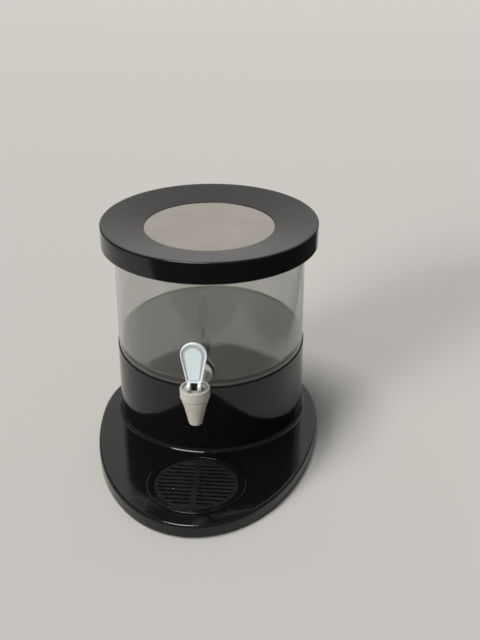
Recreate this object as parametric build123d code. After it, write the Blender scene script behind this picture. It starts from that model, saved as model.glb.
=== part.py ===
from build123d import *
import math
import os

# Countertop drinks dispenser: a clear tank with a lever tap, on a black base with a drip tray.
# Millimetres, +Z up. The pieces are made about the tank axis, with the front towards -Y, and are
# written out with the origin on the table, under the middle of the footprint.

# Tank
TANK_OD = 194.0
TANK_WALL = 2.5
TANK_FLOOR = 2.5
TANK_TOP = 215.0  # table to the rim
TANK_RIM = 3.0  # thickness of the turned-out rim
TANK_FOOT_EDGE = 1.2  # rounding of the bottom edge
TANK_FLOOR_EDGE = 3.0  # rounding between wall and floor, inside
SEAT_HEIGHT = 97.0  # table to the tank's bottom edge, at the tank axis
SEAT_SLOPE = 5.0  # degrees, the tank's floor runs down to the tap
SEAT_STEP = 3.0  # depth of the tank's foot ring
SEAT_CLEARANCE = 0.4  # tank foot ring to base plateau

# Base
BASE_WALL = 2.8
COLUMN_LIP = 1.0  # column outside the tank wall
COLUMN_FILLET = 4.0  # column to deck
COLUMN_EDGE = 0.8  # bevel of the column's upper edge
DECK_HEIGHT = 14.0  # table to deck surface
DECK_SIDE_LEDGE = 17.0  # column to the deck's widest edge
DECK_BACK_LEDGE = 14.0  # column to the deck's back edge
DECK_NOSE_MARGIN = 17.0  # drip tray to the deck's front tip
DECK_WIDEST = 20.0  # the widest place, in front of the tank axis
DECK_EDGE = 3.0  # rounding of the deck's rim
COLLAR = 2.0  # thickness of the wall round the tray's hole
COLLAR_DROP = 7.0  # deck surface to the collar's lower edge
FOOT_HEIGHT = 1.5
FOOT_D = 11.0
FOOT_POST_D = 12.0
FOOT_CHAMFER = 0.4
FOOT_FRONT_GAP = 18.0  # drip tray edge to the front posts
FOOT_REAR_ANGLE = 40.0  # degrees from straight back

# Drip tray and grille
TRAY_FLANGE_D = 96.0
TRAY_FLANGE = 1.6
TRAY_EDGE = 0.6  # bevel of the flange
TRAY_LIP = 4.0  # flange outside the tray wall
TRAY_WALL = 2.2
TRAY_FLOOR = 2.0
TRAY_LIFT = 3.0  # table to the tray's underside
TRAY_FORWARD = 6.0  # tray centre in front of the spout
GRILLE_THICKNESS = 2.6
GRILLE_DROP = 1.4  # tray flange top to grille top
GRILLE_LEDGE = 2.4  # width of the ledge that carries the grille
GRILLE_LEDGE_HEIGHT = 1.4
GRILLE_RIM = 4.0  # plain rim round the slots
GRILLE_PITCH = 6.0
GRILLE_SLOT = 3.0
GRILLE_SPINE = 4.8  # plain bar across the slots
GRILLE_EDGE = 0.5  # bevel of the plate and of the slots
DROP_IN = 0.4  # radial play of the tray and of the grille

# Lid
LID_OVERHANG = 13.0  # lid outside the tank wall
LID_HEIGHT = 22.0
LID_PLATE = 3.0
LID_SKIRT = 3.0
LID_RIM = 3.0  # level rim round the dished top
LID_EDGE = 1.5  # rounding of the top edge
REST_RIB = 9.0  # height of the rib that stands on the tank's rim
RIB = 2.2  # thickness of the ribs under the lid
PLUG_DEPTH = 11.0  # plug rib below the tank's rim
PLUG_PLAY = 1.6  # plug rib to the tank wall
RIM_PLAY = 2.0  # tank rim to the lid's skirt
DISC_D = 133.0
DISC_RECESS = 6.5  # lid top to disc top
DISC_STEP = 0.4  # the dish's lower edge to disc top
DISC_THICKNESS = 2.5
DISC_PLAY = 0.2
DISC_EDGE = 0.5
DISC_LEDGE = 6.0  # width of the ledge under the disc
LEDGE_PLATE = 2.5
RECESS_WALL = 2.6
SKIRT_EDGE = 0.8  # bevel of the skirt's lower edge
GASKET_HEIGHT = 4.0
GASKET_SINK = 1.2  # depth of the gasket's groove
GASKET_EDGE = 1.2  # bevel of the lip
GASKET_GAP = 0.3  # gasket to the tank wall
GASKET_ABOVE = 3.0  # plug rib's lower edge to the groove

# Tap body
TAP_REACH = 50.0  # tank wall to the spout's axis
TAP_RISE = 19.0  # tank's bottom edge at the front to the shank's axis
HEAD_D = 28.0
HEAD_RISE = 11.0  # shank axis to the head's top
HEAD_EDGE = 0.6
HEAD_WALL = 2.3
HEAD_LOW = 1.0  # shank axis to the head's lower edge
HEAD_TAPER = 1.4  # head to barrel, on the radius
LEDGE_RISE = 4.5  # shank axis to the ledge inside the head
BARREL_STEP = 0.6
BARREL_DROP = 4.0  # shank axis to the step above the nozzle
NOZZLE_D = 23.2
SPOUT_DROP = 27.5  # shank axis to the spout's tip
SPOUT_TIP_D = 12.4
SPOUT_EDGE = 0.5
OUTLET_D = 9.0
VALVE_DROP = 9.5  # shank axis to the valve seat
CHAMBER_D = 16.4
SHANK_D = 13.0
SHANK_BORE_D = 8.0
SHANK_END = 1.5  # shank past the nut
FLANGE_D = 24.0
FLANGE = 3.0
FLANGE_EDGE = 0.8
ARM_FILLET = 1.5  # arm to flange

# Tap fittings
PAD_D = 27.0  # flat pad on the tank wall
PAD_OUT = 1.0  # pad outside the tank wall
PAD_IN = 1.9  # pad inside the tank wall
HOLE_PLAY = 0.4  # shank in the tank's hole
OUTER_WASHER_D = 25.6  # shows as a ring round the tap's flange
INNER_WASHER_D = 23.0
WASHER = 2.0
WASHER_PLAY = 0.2
NUT_FLATS = 19.0
NUT = 7.0
NUT_CHAMFER = 1.2
THREAD_PLAY = 0.1

# Valve
BONNET = 3.3
BONNET_PLAY = 0.1
BONNET_EDGE = 0.6
CUP_FLANGE = 1.2
CUP_D = 14.8
CUP_WALL = 2.0
CUP_TIP_D = 12.6
CUP_TIP = 1.5  # height of the tapered tip
CUP_LIP = 1.2  # lip over the stem's button
CUP_BOTTOM = 2.0
CUP_PLAY = 0.3  # button in its socket
STEM_D = 4.8
STEM_PLAY = 0.1
BUTTON_D = 8.0
BUTTON = 1.6
EYE_D = 7.2
EYE_WIDTH = 6.0

# Lever
LEVER_TILT = 85.0  # degrees, from shut to fully open
STEM_LIFT = 3.2  # stem's rise at full tilt
CAM_LOW = 6.0  # pin to the cam's underside when shut
CAM_GAP = 0.3  # cam to bonnet
LEG_BACK = 3.5  # pin to the back of the legs
LEG_GAP = 0.4  # eye to each leg
LEG = 3.2
PIN_D = 3.0
PIN_RUN = 0.05  # pin in the eye
PIN_PRESS = 0.02  # pin in the legs
PADDLE_FRONT = 5.0  # pin to the paddle's face
PADDLE = 3.2
PADDLE_LOW = 2.5  # pin to the paddle's lower edge, clear of the stem at full tilt
PADDLE_HEIGHT = 41.3
PADDLE_TOP_D = 24.6
PADDLE_FOOT = 14.6
PADDLE_EDGE = 0.5  # rounding of the paddle's outline
PADDLE_RIM = 1.4
PADDLE_DISH = 1.0  # depth of the dished face
PRESS_TOP_D = 15.6  # thumb press in the dish
PRESS_DROP = 1.0  # centre of its round end below the paddle's
PRESS_FOOT = 9.8
PRESS_RAISE = 0.5
GUSSET = 9.0  # height of the legs' gusset behind the paddle

# Derived places
TANK_R = TANK_OD / 2
TANK_INNER_R = TANK_R - TANK_WALL
COLUMN_R = TANK_R + COLUMN_LIP
PLATEAU_R = TANK_INNER_R - SEAT_CLEARANCE
SLOPE = math.radians(SEAT_SLOPE)
LID_R = TANK_R + LID_OVERHANG
LID_TOP = TANK_TOP + REST_RIB + LID_PLATE
RIM_R = LID_R - LID_SKIRT - RIM_PLAY
TAP_Y = -(TANK_R + TAP_REACH)
TAP_Z = SEAT_HEIGHT - TANK_R * math.tan(SLOPE) + TAP_RISE
TRAY_Y = TAP_Y - TRAY_FORWARD
TRAY_R = TRAY_FLANGE_D / 2 - TRAY_LIP
GRILLE_TOP = DECK_HEIGHT + TRAY_FLANGE - GRILLE_DROP
GRILLE_UNDERSIDE = GRILLE_TOP - GRILLE_THICKNESS
DECK_HALF_WIDTH = COLUMN_R + DECK_SIDE_LEDGE
DECK_BACK = COLUMN_R + DECK_BACK_LEDGE
DECK_NOSE = TRAY_FLANGE_D / 2 - TRAY_Y + DECK_NOSE_MARGIN
AXIS_Y = (DECK_NOSE - DECK_BACK) / 2
PAD_OUTER_Y = -(TANK_R + PAD_OUT)
PAD_INNER_Y = -(TANK_INNER_R - PAD_IN)
FLANGE_Y = PAD_OUTER_Y - WASHER
NUT_Y = PAD_INNER_Y + WASHER
LEDGE_Z = TAP_Z + LEDGE_RISE
VALVE_Z = TAP_Z - VALVE_DROP
BONNET_TOP = LEDGE_Z + CUP_FLANGE + BONNET
PIVOT_Z = BONNET_TOP + CAM_LOW + CAM_GAP

UPWARD = (Align.CENTER, Align.CENTER, Align.MIN)
NEAR = 0.01  # edges within this of a level lie on it


def turned(*points):
    """Solid of revolution about Z, from a closed outline of (radius, height) points."""
    return revolve(Plane.XZ * make_face(Polyline(*points, close=True)), Axis.Z)


def tube(inner_r, outer_r, low, high):
    """Upright ring."""
    return turned((inner_r, low), (outer_r, low), (outer_r, high), (inner_r, high))


def rod(radius, low, high):
    """Upright cylinder."""
    return Pos(0, 0, low) * Cylinder(radius, high - low, align=UPWARD)


def along_y(radius, near, far):
    """Cylinder on the shank's axis, from y = near back to y = far."""
    return Pos(0, near, TAP_Z) * Rot(-90, 0, 0) * Cylinder(radius, far - near, align=UPWARD)


def along_x(radius, length):
    """Cylinder on the X axis, centred."""
    return Rot(0, 90, 0) * Cylinder(radius, length)


def at_tap(piece, height=0):
    """Move a piece from the Z axis to the spout's axis."""
    return Pos(0, TAP_Y, height) * piece


def seat_plane(rise):
    """Sloping plane of the tank's bottom edge, moved up square to itself."""
    normal = Vector(0, -math.sin(SLOPE), math.cos(SLOPE))
    return Plane(origin=Vector(0, 0, SEAT_HEIGHT) + normal * rise, z_dir=normal)


def below_seat(radius, low, rise):
    """Upright cylinder from a level up to the sloping plane."""
    return split(rod(radius, low, TANK_TOP), bisect_by=seat_plane(rise), keep=Keep.BOTTOM)


def above_seat(radius, high, rise):
    """Upright cylinder from the sloping plane up to a level."""
    return split(rod(radius, 0, high), bisect_by=seat_plane(rise), keep=Keep.TOP)


def top_edges(piece):
    """Edges on the highest level, the shortest first."""
    return piece.edges().group_by(Axis.Z)[-1].sort_by(SortBy.LENGTH)


def bottom_edges(piece):
    """Edges on the lowest level, the shortest first."""
    return piece.edges().group_by(Axis.Z)[0].sort_by(SortBy.LENGTH)


def egg(inset):
    """Deck outline: half an ellipse in front of the widest place and half an ellipse behind it."""
    centre = (0, -DECK_WIDEST)
    half = DECK_HALF_WIDTH - inset
    front = EllipticalCenterArc(centre, half, DECK_NOSE - DECK_WIDEST - inset, 180, arc_size=180)
    back = EllipticalCenterArc(centre, half, DECK_BACK + DECK_WIDEST - inset, 0, arc_size=180)
    return make_face([front, back])


def foot_places():
    """Name and place of each foot, under the deck."""
    front_x = TRAY_FLANGE_D / 2 + FOOT_FRONT_GAP
    rear_r = COLUMN_R + (DECK_BACK_LEDGE - BASE_WALL) / 2
    angle = math.radians(FOOT_REAR_ANGLE)
    for side, sign in (("left", -1), ("right", 1)):
        yield f"foot_front_{side}", (sign * front_x, TRAY_Y)
        yield f"foot_rear_{side}", (sign * rear_r * math.sin(angle), rear_r * math.cos(angle))


def make_base():
    """Deck, column and tank seat as one shell, with a post over each foot and a collar for the tray."""
    ceiling = DECK_HEIGHT - BASE_WALL
    deck = Pos(0, 0, FOOT_HEIGHT) * extrude(egg(0), DECK_HEIGHT - FOOT_HEIGHT)
    deck = fillet(top_edges(deck), DECK_EDGE)
    plateau_rise = SEAT_STEP - SEAT_CLEARANCE
    column = below_seat(COLUMN_R, FOOT_HEIGHT, 0)
    column = chamfer(column.edges().group_by(Axis.Z)[-1], COLUMN_EDGE)
    shell = deck + column
    on_deck = (DECK_HEIGHT - NEAR, DECK_HEIGHT + NEAR)
    foot_line = shell.edges().filter_by(GeomType.CIRCLE).filter_by_position(Axis.Z, *on_deck)
    shell = fillet(foot_line, COLUMN_FILLET)
    shell += below_seat(PLATEAU_R, FOOT_HEIGHT, plateau_rise)
    shell -= extrude(egg(BASE_WALL), ceiling)
    shell -= below_seat(COLUMN_R - BASE_WALL, 0, -BASE_WALL)
    shell -= below_seat(PLATEAU_R - BASE_WALL, 0, plateau_rise - BASE_WALL)
    for _, (x, y) in foot_places():
        shell += Pos(x, y, 0) * rod(FOOT_POST_D / 2, FOOT_HEIGHT, ceiling)
    hole_r = TRAY_R + DROP_IN
    shell += Pos(0, TRAY_Y, 0) * rod(hole_r + COLLAR, DECK_HEIGHT - COLLAR_DROP, ceiling)
    return shell - Pos(0, TRAY_Y, 0) * rod(hole_r, 0, DECK_HEIGHT + TRAY_FLANGE)


def make_foot():
    """Round rubber pad."""
    pad = rod(FOOT_D / 2, 0, FOOT_HEIGHT)
    return chamfer(bottom_edges(pad), FOOT_CHAMFER)


def make_tray():
    """Round cup that hangs by its flange in the deck, with a ledge for the grille."""
    rim = DECK_HEIGHT + TRAY_FLANGE
    inner_r = TRAY_R - TRAY_WALL
    ledge_low = GRILLE_UNDERSIDE - GRILLE_LEDGE_HEIGHT
    cup = turned(
        (0, TRAY_LIFT),
        (TRAY_R, TRAY_LIFT),
        (TRAY_R, DECK_HEIGHT),
        (TRAY_FLANGE_D / 2, DECK_HEIGHT),
        (TRAY_FLANGE_D / 2, rim),
        (inner_r, rim),
        (inner_r, GRILLE_UNDERSIDE),
        (inner_r - GRILLE_LEDGE, GRILLE_UNDERSIDE),
        (inner_r, ledge_low - GRILLE_LEDGE_HEIGHT),
        (inner_r, TRAY_LIFT + TRAY_FLOOR),
        (0, TRAY_LIFT + TRAY_FLOOR),
    )
    return chamfer(top_edges(cup), TRAY_EDGE)


def make_grille():
    """Round plate with rows of slots on both sides of a spine."""
    radius = TRAY_R - TRAY_WALL - DROP_IN
    plate = rod(radius, GRILLE_UNDERSIDE, GRILLE_TOP)
    reach = radius - GRILLE_RIM
    start = GRILLE_SPINE / 2
    rows = int((reach - GRILLE_SLOT) // GRILLE_PITCH)
    for row in range(-rows, rows + 1):
        across = row * GRILLE_PITCH
        end = math.sqrt(reach ** 2 - (abs(across) + GRILLE_SLOT / 2) ** 2)
        slot = extrude(SlotOverall(end - start, GRILLE_SLOT), GRILLE_THICKNESS)
        for side in (-1, 1):
            plate -= Pos(side * (end + start) / 2, across, GRILLE_UNDERSIDE) * slot
    return chamfer(top_edges(plate), GRILLE_EDGE)


def make_tank():
    """Clear cylinder with a sloping floor over a foot ring, a turned-out rim and a pad for the tap."""
    tank = above_seat(TANK_R, TANK_TOP, 0)
    tank = fillet(tank.edges().group_by(Axis.Z)[0], TANK_FOOT_EDGE)
    tank += rod(RIM_R, TANK_TOP - TANK_RIM, TANK_TOP)
    hollow = above_seat(TANK_INNER_R, TANK_TOP, SEAT_STEP + TANK_FLOOR)
    tank -= fillet(hollow.edges().group_by(Axis.Z)[0], TANK_FLOOR_EDGE)
    tank -= below_seat(TANK_INNER_R, 0, SEAT_STEP)
    tank += along_y(PAD_D / 2, PAD_OUTER_Y, PAD_INNER_Y)
    return tank - along_y(SHANK_D / 2 + HOLE_PLAY, PAD_OUTER_Y, PAD_INNER_Y)


def plug_radius():
    """Outer radius of the lid's plug rib."""
    return TANK_INNER_R - PLUG_PLAY


def gasket_span():
    """Lower and upper edge of the gasket's groove."""
    low = TANK_TOP - PLUG_DEPTH + GASKET_ABOVE
    return low, low + GASKET_HEIGHT


def make_lid():
    """Black ring whose top slopes down to the disc, with a skirt, a plug rib and a rest rib."""
    under = LID_TOP - LID_PLATE
    skirt_r = LID_R - LID_SKIRT
    skirt_low = LID_TOP - LID_HEIGHT
    recess_r = DISC_D / 2
    wall_r = recess_r + RECESS_WALL
    ledge_r = recess_r - DISC_LEDGE
    ledge_top = LID_TOP - DISC_RECESS - DISC_THICKNESS
    ledge_low = ledge_top - LEDGE_PLATE
    dish_depth = DISC_RECESS - DISC_STEP
    dish_slope = dish_depth / (LID_R - LID_RIM - recess_r)
    plug_r = plug_radius()
    rest_r = TANK_R + RIB
    lid = turned(
        (LID_R, skirt_low),
        (LID_R, LID_TOP),
        (LID_R - LID_RIM, LID_TOP),
        (recess_r, LID_TOP - dish_depth),
        (recess_r, ledge_top),
        (ledge_r, ledge_top),
        (ledge_r, ledge_low),
        (wall_r, ledge_low),
        (wall_r, under - (skirt_r - wall_r) * dish_slope),
        (skirt_r, under),
        (skirt_r, skirt_low),
    )
    lid = fillet(top_edges(lid)[-1], LID_EDGE)
    lid = chamfer(bottom_edges(lid)[-1], SKIRT_EDGE)
    lid += tube(plug_r - RIB, plug_r, TANK_TOP - PLUG_DEPTH, under - (skirt_r - plug_r) * dish_slope)
    lid += tube(rest_r - RIB, rest_r, TANK_TOP, under - (skirt_r - rest_r) * dish_slope)
    low, high = gasket_span()
    return lid - tube(plug_r - GASKET_SINK, plug_r, low, high)


def make_disc():
    """Pale disc let into the foot of the lid's dish."""
    top = LID_TOP - DISC_RECESS
    disc = rod(DISC_D / 2 - DISC_PLAY, top - DISC_THICKNESS, top)
    return chamfer(top_edges(disc), DISC_EDGE)


def make_gasket():
    """Soft ring in the plug rib's groove, with a bevelled lip towards the tank."""
    low, high = gasket_span()
    ring = tube(plug_radius() - GASKET_SINK, TANK_INNER_R - GASKET_GAP, low, high)
    lips = ring.edges().sort_by(SortBy.LENGTH)[-2:]
    return chamfer(lips, GASKET_EDGE)


def make_tap_body():
    """Spout with a valve chamber and an open head, and an arm with flange and threaded shank."""
    tip = TAP_Z - SPOUT_DROP
    head_r = HEAD_D / 2
    barrel_r = head_r - HEAD_TAPER
    step_z = TAP_Z - BARREL_DROP
    flange_front = (FLANGE_Y - FLANGE - NEAR, FLANGE_Y - FLANGE + NEAR)
    barrel = turned(
        (0, tip),
        (SPOUT_TIP_D / 2, tip),
        (NOZZLE_D / 2, step_z),
        (NOZZLE_D / 2 + BARREL_STEP, step_z),
        (barrel_r, TAP_Z - HEAD_LOW),
        (head_r, TAP_Z + HEAD_TAPER),
        (head_r, TAP_Z + HEAD_RISE),
        (0, TAP_Z + HEAD_RISE),
    )
    barrel = fillet(top_edges(barrel), HEAD_EDGE)
    barrel = fillet(bottom_edges(barrel), SPOUT_EDGE)
    flange = along_y(FLANGE_D / 2, FLANGE_Y - FLANGE, FLANGE_Y)
    flange = fillet(flange.edges().filter_by(GeomType.CIRCLE), FLANGE_EDGE)
    arm = flange + along_y(SHANK_D / 2, TAP_Y, NUT_Y + NUT + SHANK_END)
    arm_root = arm.edges().filter_by(GeomType.CIRCLE).filter_by_position(Axis.Y, *flange_front)
    body = at_tap(barrel) + fillet(arm_root, ARM_FILLET)
    body -= at_tap(rod(OUTLET_D / 2, tip, VALVE_Z))
    body -= at_tap(rod(CHAMBER_D / 2, VALVE_Z, LEDGE_Z))
    body -= at_tap(rod(head_r - HEAD_WALL, LEDGE_Z, TAP_Z + HEAD_RISE))
    return body - along_y(SHANK_BORE_D / 2, TAP_Y, NUT_Y + NUT + SHANK_END)


def make_washer(diameter, near):
    """Rubber washer on the shank, from y = near inwards."""
    hole = along_y(SHANK_D / 2 + WASHER_PLAY, near, near + WASHER)
    return along_y(diameter / 2, near, near + WASHER) - hole


def make_nut():
    """Hexagon nut with two flats level, on the shank inside the tank."""
    hexagon = RegularPolygon(NUT_FLATS / 2, 6, major_radius=False, rotation=30)
    blank = Pos(0, NUT_Y, TAP_Z) * Rot(-90, 0, 0) * extrude(hexagon, NUT)
    corner_r = NUT_FLATS / 2 / math.cos(math.pi / 6)
    barrel = along_y(corner_r, NUT_Y, NUT_Y + NUT)
    blank &= chamfer(barrel.edges().filter_by(GeomType.CIRCLE), NUT_CHAMFER)
    return blank - along_y(SHANK_D / 2 + THREAD_PLAY, NUT_Y, NUT_Y + NUT)


def make_seat_cup():
    """Silicone bell: a flange on the ledge, a wall round the stem and a tip on the valve seat."""
    outer_r = CUP_D / 2
    inner_r = outer_r - CUP_WALL
    socket_r = BUTTON_D / 2 + CUP_PLAY
    neck_r = STEM_D / 2 + CUP_PLAY
    flange_r = HEAD_D / 2 - HEAD_WALL - BONNET_PLAY
    flange_top = LEDGE_Z + CUP_FLANGE
    socket_low = VALVE_Z + CUP_BOTTOM
    socket_top = socket_low + BUTTON + 2 * CUP_PLAY
    return at_tap(turned(
        (0, VALVE_Z),
        (CUP_TIP_D / 2, VALVE_Z),
        (outer_r, VALVE_Z + CUP_TIP),
        (outer_r, LEDGE_Z),
        (flange_r, LEDGE_Z),
        (flange_r, flange_top),
        (inner_r, flange_top),
        (inner_r, socket_top + CUP_LIP),
        (neck_r, socket_top + CUP_LIP),
        (neck_r, socket_top),
        (socket_r, socket_top),
        (socket_r, socket_low),
        (0, socket_low),
    ))


def make_bonnet():
    """Cap that holds the seat cup down and guides the stem."""
    outer_r = HEAD_D / 2 - HEAD_WALL - BONNET_PLAY
    cap = tube(STEM_D / 2 + STEM_PLAY, outer_r, BONNET_TOP - BONNET, BONNET_TOP)
    return at_tap(chamfer(top_edges(cap), BONNET_EDGE))


def make_stem():
    """Rod with a button in the seat cup and an eye for the lever's pin."""
    button_low = VALVE_Z + CUP_BOTTOM + CUP_PLAY
    stem = rod(STEM_D / 2, button_low, PIVOT_Z)
    stem += rod(BUTTON_D / 2, button_low, button_low + BUTTON)
    stem += Pos(0, 0, PIVOT_Z) * along_x(EYE_D / 2, EYE_WIDTH)
    return at_tap(stem - Pos(0, 0, PIVOT_Z) * along_x(PIN_D / 2 + PIN_RUN, EYE_WIDTH))


def cam_point(angle):
    """Point of the cam that touches the bonnet at a tilt, as (y, z) from the pin.

    The cam's reach grows evenly with the tilt, h = CAM_LOW + rate * angle, so the stem rises in
    step with the lever. The point is h * n + rate * n', with n pointing down at that tilt.
    """
    rate = STEM_LIFT / math.radians(LEVER_TILT)
    reach = CAM_LOW + rate * angle
    y = -reach * math.sin(angle) - rate * math.cos(angle)
    z = -reach * math.cos(angle) + rate * math.sin(angle)
    return y, z


def keyhole(centre, top_d, foot, low):
    """Outline that narrows from a round end, with its centre at a height, to a straight foot."""
    bulb = Pos(0, centre) * Circle(top_d / 2)
    sole = Pos(0, low) * Rectangle(foot, PADDLE_RIM, align=(Align.CENTER, Align.MIN))
    return make_hull(bulb.edges() + sole.edges())


def make_lever():
    """Keyhole paddle with a thumb press in its dished face, on two legs whose heels are cams."""
    centre = PADDLE_LOW + PADDLE_HEIGHT - PADDLE_TOP_D / 2
    outline = keyhole(centre, PADDLE_TOP_D, PADDLE_FOOT, PADDLE_LOW)
    dish = offset(outline, -PADDLE_RIM)
    press = keyhole(centre - PRESS_DROP, PRESS_TOP_D, PRESS_FOOT, PADDLE_LOW + 2 * PADDLE_RIM)
    face = Plane(origin=(0, -PADDLE_FRONT, 0), x_dir=(1, 0, 0), z_dir=(0, -1, 0))
    lever = extrude(face * outline, -PADDLE)
    front_to_back = lever.faces().sort_by(Axis.Y)
    lever = fillet(front_to_back[0].edges() + front_to_back[-1].edges(), PADDLE_EDGE)
    lever -= extrude(face * dish, -PADDLE_DISH)
    lever += extrude(face.offset(-PADDLE_DISH) * press, PRESS_RAISE)

    full = math.radians(LEVER_TILT)
    back_y = PADDLE - PADDLE_FRONT
    start, half, end = (cam_point(share * full) for share in (0, 0.5, 1))
    legs_outline = make_face([
        Line((LEG_BACK, -CAM_LOW), start),
        ThreePointArc(start, half, end),
        Line(end, (-PADDLE_FRONT, PADDLE_LOW)),
        Line((-PADDLE_FRONT, PADDLE_LOW), (back_y, PADDLE_LOW + GUSSET)),
        Line((back_y, PADDLE_LOW + GUSSET), (LEG_BACK, CAM_LOW / 2)),
        Line((LEG_BACK, CAM_LOW / 2), (LEG_BACK, -CAM_LOW)),
    ])
    inner_x = EYE_WIDTH / 2 + LEG_GAP
    lever -= along_x(EYE_D / 2 + LEG_GAP, 2 * inner_x)
    for side_x in (inner_x, -inner_x - LEG):
        lever += extrude(Pos(side_x, 0, 0) * (Plane.YZ * legs_outline), LEG)
    lever -= along_x(PIN_D / 2 + PIN_PRESS, 2 * (inner_x + LEG))
    return at_tap(lever, PIVOT_Z)


def make_pin():
    """Pin through both legs and the eye, flush with the legs."""
    return at_tap(along_x(PIN_D / 2, 2 * (EYE_WIDTH / 2 + LEG_GAP + LEG)), PIVOT_Z)


nodes = {
    "base_shell": make_base(),
    "drip_tray": Pos(0, TRAY_Y, 0) * make_tray(),
    "drip_grille": Pos(0, TRAY_Y, 0) * make_grille(),
    "tank": make_tank(),
    "lid_ring": make_lid(),
    "lid_disc": make_disc(),
    "lid_gasket": make_gasket(),
    "tap_body": make_tap_body(),
    "tap_outer_washer": make_washer(OUTER_WASHER_D, FLANGE_Y),
    "tap_inner_washer": make_washer(INNER_WASHER_D, PAD_INNER_Y),
    "tap_nut": make_nut(),
    "tap_seat_cup": make_seat_cup(),
    "tap_bonnet": make_bonnet(),
    "tap_stem": make_stem(),
    "tap_lever": make_lever(),
    "lever_pin": make_pin(),
}
for foot_name, (foot_x, foot_y) in foot_places():
    nodes[foot_name] = Pos(foot_x, foot_y, 0) * make_foot()

os.makedirs("parts", exist_ok=True)
for node, piece in nodes.items():
    export_step(Pos(0, AXIS_Y, 0) * piece, f"parts/{node}.step")

print(f"tank axis at y = {AXIS_Y:.2f}, spout axis at y = {AXIS_Y + TAP_Y:.2f}")
print(f"shank height {TAP_Z:.2f}, pivot height {PIVOT_Z:.2f}, bonnet top {BONNET_TOP:.2f}")
print(f"lid top {LID_TOP:.2f}, deck {2 * DECK_HALF_WIDTH:.2f} wide and {DECK_NOSE + DECK_BACK:.2f} long")
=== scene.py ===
# %% [markdown]
# Countertop drinks dispenser: the looks
#
# The CAD model gives every piece its size, its place and its joint. This lesson dresses it: it loads the
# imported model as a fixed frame, sets the camera and the light, gives every piece a finish that a moulder
# would recognise, and makes anew the pieces whose rounded edges and fine forms carry the look.

# %% Load the frame
import math
import bmesh
import bpy
import numpy as np
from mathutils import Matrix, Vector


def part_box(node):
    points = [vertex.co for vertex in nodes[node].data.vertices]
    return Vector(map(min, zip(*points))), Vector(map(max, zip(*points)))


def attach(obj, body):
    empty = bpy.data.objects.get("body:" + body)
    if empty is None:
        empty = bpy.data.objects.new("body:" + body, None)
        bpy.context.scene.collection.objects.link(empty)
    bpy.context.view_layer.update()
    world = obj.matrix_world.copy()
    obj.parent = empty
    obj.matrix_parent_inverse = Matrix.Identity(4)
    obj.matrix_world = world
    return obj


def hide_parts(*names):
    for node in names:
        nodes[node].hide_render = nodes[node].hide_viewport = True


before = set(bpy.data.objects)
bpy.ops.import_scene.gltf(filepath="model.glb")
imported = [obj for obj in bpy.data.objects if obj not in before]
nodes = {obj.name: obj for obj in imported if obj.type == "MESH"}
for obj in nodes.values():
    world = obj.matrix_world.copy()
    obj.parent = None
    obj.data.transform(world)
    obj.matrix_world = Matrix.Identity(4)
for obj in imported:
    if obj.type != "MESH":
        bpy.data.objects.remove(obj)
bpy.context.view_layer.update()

# %% [markdown]
# The camera
#
# The photograph looks down on the dispenser from about head height, a little from its right. A camera can
# be set by eye. This one has the place and the focal length at which the lid, its disc and the drip tray,
# all round, project to the ellipses in the photograph, so that proportions can be compared too. In a
# picture that is taller than wide, Blender lays the sensor's width along the height.

# %% Set the camera
FOCAL_PIXELS = 1000.0
IMAGE_HEIGHT = 640.0
SENSOR = 36.0
CAMERA_PLACE = (0.1003, -0.8838, 0.5900)
CAMERA_TILT = math.radians(63.17)
CAMERA_TURN = math.radians(4.24)

scene = bpy.context.scene
lens = bpy.data.cameras.new("photo_camera")
lens.sensor_width = SENSOR
lens.lens = FOCAL_PIXELS / IMAGE_HEIGHT * SENSOR
camera = bpy.data.objects.new("photo_camera", lens)
camera.location = CAMERA_PLACE
camera.rotation_euler = (CAMERA_TILT, 0.0, CAMERA_TURN)
scene.collection.objects.link(camera)
scene.camera = camera
scene.view_settings.view_transform = "Standard"
print("camera:", round(lens.lens, 2), "mm lens at", CAMERA_PLACE)

# %% [markdown]
# A kit for materials
#
# Every finish here is a Principled shader. Its colour, gloss and fine relief come from noise in the
# object's own coordinates, so a pattern stays on its piece from any side. Pictures could carry the same
# detail, but a noise needs no file and no unwrapping. Its first half starts a material, adds a node and
# makes a noise.

# %% Start a material
def new_finish(name, colour, roughness, **sockets):
    """Principled material, its nodes and its shader, with constant sockets set by name."""
    material = bpy.data.materials.new(name)
    material.use_nodes = True
    tree = material.node_tree
    shader = tree.nodes["Principled BSDF"]
    shader.inputs["Base Color"].default_value = (*colour, 1.0)
    shader.inputs["Roughness"].default_value = roughness
    for key, value in sockets.items():
        shader.inputs[key.replace("_", " ")].default_value = value
    return material, tree, shader


def add_node(tree, kind, **values):
    """Node of a kind, with input sockets set by name: underscores stand for spaces."""
    node = tree.nodes.new(kind)
    for key, value in values.items():
        node.inputs[key.replace("_", " ")].default_value = value
    return node


def noise_of(tree, scale, detail=3.0, stretch=(1.0, 1.0, 1.0), spread=(0.3, 0.7)):
    """Noise over the object's coordinates, with scale features per metre.

    What lies between the two values of spread is drawn out to reach from 0 to 1.
    """
    place = tree.nodes.new("ShaderNodeTexCoord")
    mapping = add_node(tree, "ShaderNodeMapping", Scale=stretch)
    noise = add_node(tree, "ShaderNodeTexNoise", Scale=scale, Detail=detail)
    level = add_node(tree, "ShaderNodeMapRange", From_Min=spread[0], From_Max=spread[1])
    tree.links.new(place.outputs["Object"], mapping.inputs["Vector"])
    tree.links.new(mapping.outputs["Vector"], noise.inputs["Vector"])
    tree.links.new(noise.outputs["Fac"], level.inputs["Value"])
    return level.outputs["Result"]


print("helpers: new_finish, add_node, noise_of")

# %% [markdown]
# Colour, gloss and relief
#
# A bump's depth is given in metres, so it means the same on a large piece and on a small one. The last
# helper puts a finish on CAD pieces.

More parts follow.
